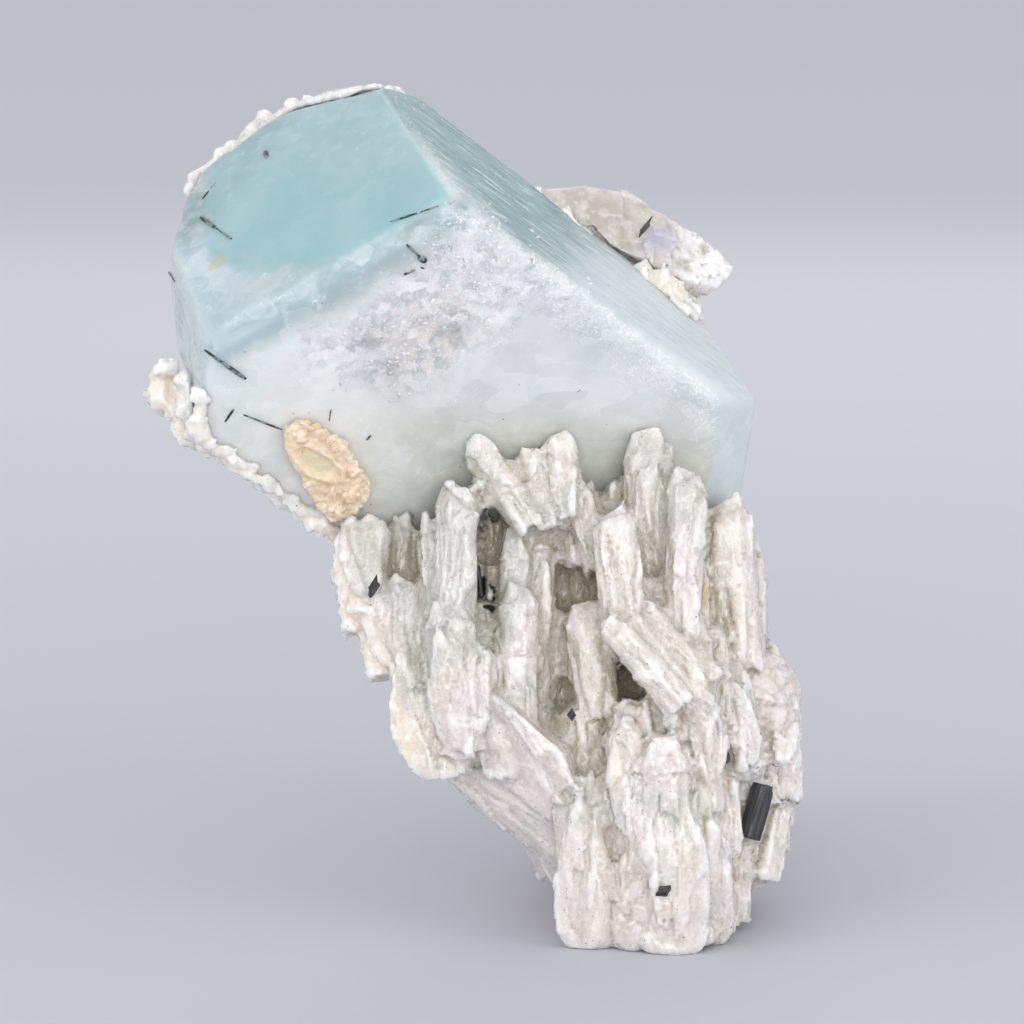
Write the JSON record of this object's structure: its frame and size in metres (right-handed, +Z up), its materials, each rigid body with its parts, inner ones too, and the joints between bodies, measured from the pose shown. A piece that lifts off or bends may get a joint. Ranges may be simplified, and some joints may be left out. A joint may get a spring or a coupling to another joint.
{
  "type": "beryl crystal on albite matrix",
  "caption": "Thick milky blue-green beryl crystal leaning out of a tall white matrix of bladed albite with small black schorl, standing on the matrix's flat foot.",
  "frame": {"origin": "middle of the specimen's bounding box, on the surface it stands on", "axes": "+Z up, -Y towards the viewer of the beryl's broad front face, +X to that viewer's right"},
  "size_m": [0.0674, 0.0662, 0.0859],
  "materials": {
    "beryl": "milky translucent, glossy crystal faces",
    "albite": "sugary white, slightly translucent",
    "quartz": "grey-tan translucent, glassy",
    "feldspar": "ochre, granular",
    "schorl": "black, glassy, striated"
  },
  "bodies": {
    "root": {"beryl": "beryl", "albite_matrix": "albite", "rear_quartz": "quartz", "feldspar_patch": "feldspar", "schorl_prism": "schorl", "schorl_rod_left": "schorl", "schorl_rod_cavity": "schorl", "schorl_grain_ledge": "schorl", "schorl_wedge_foot": "schorl", "schorl_grain_hollow": "schorl", "schorl_rod_rear": "schorl"}
  },
  "joints": []
}
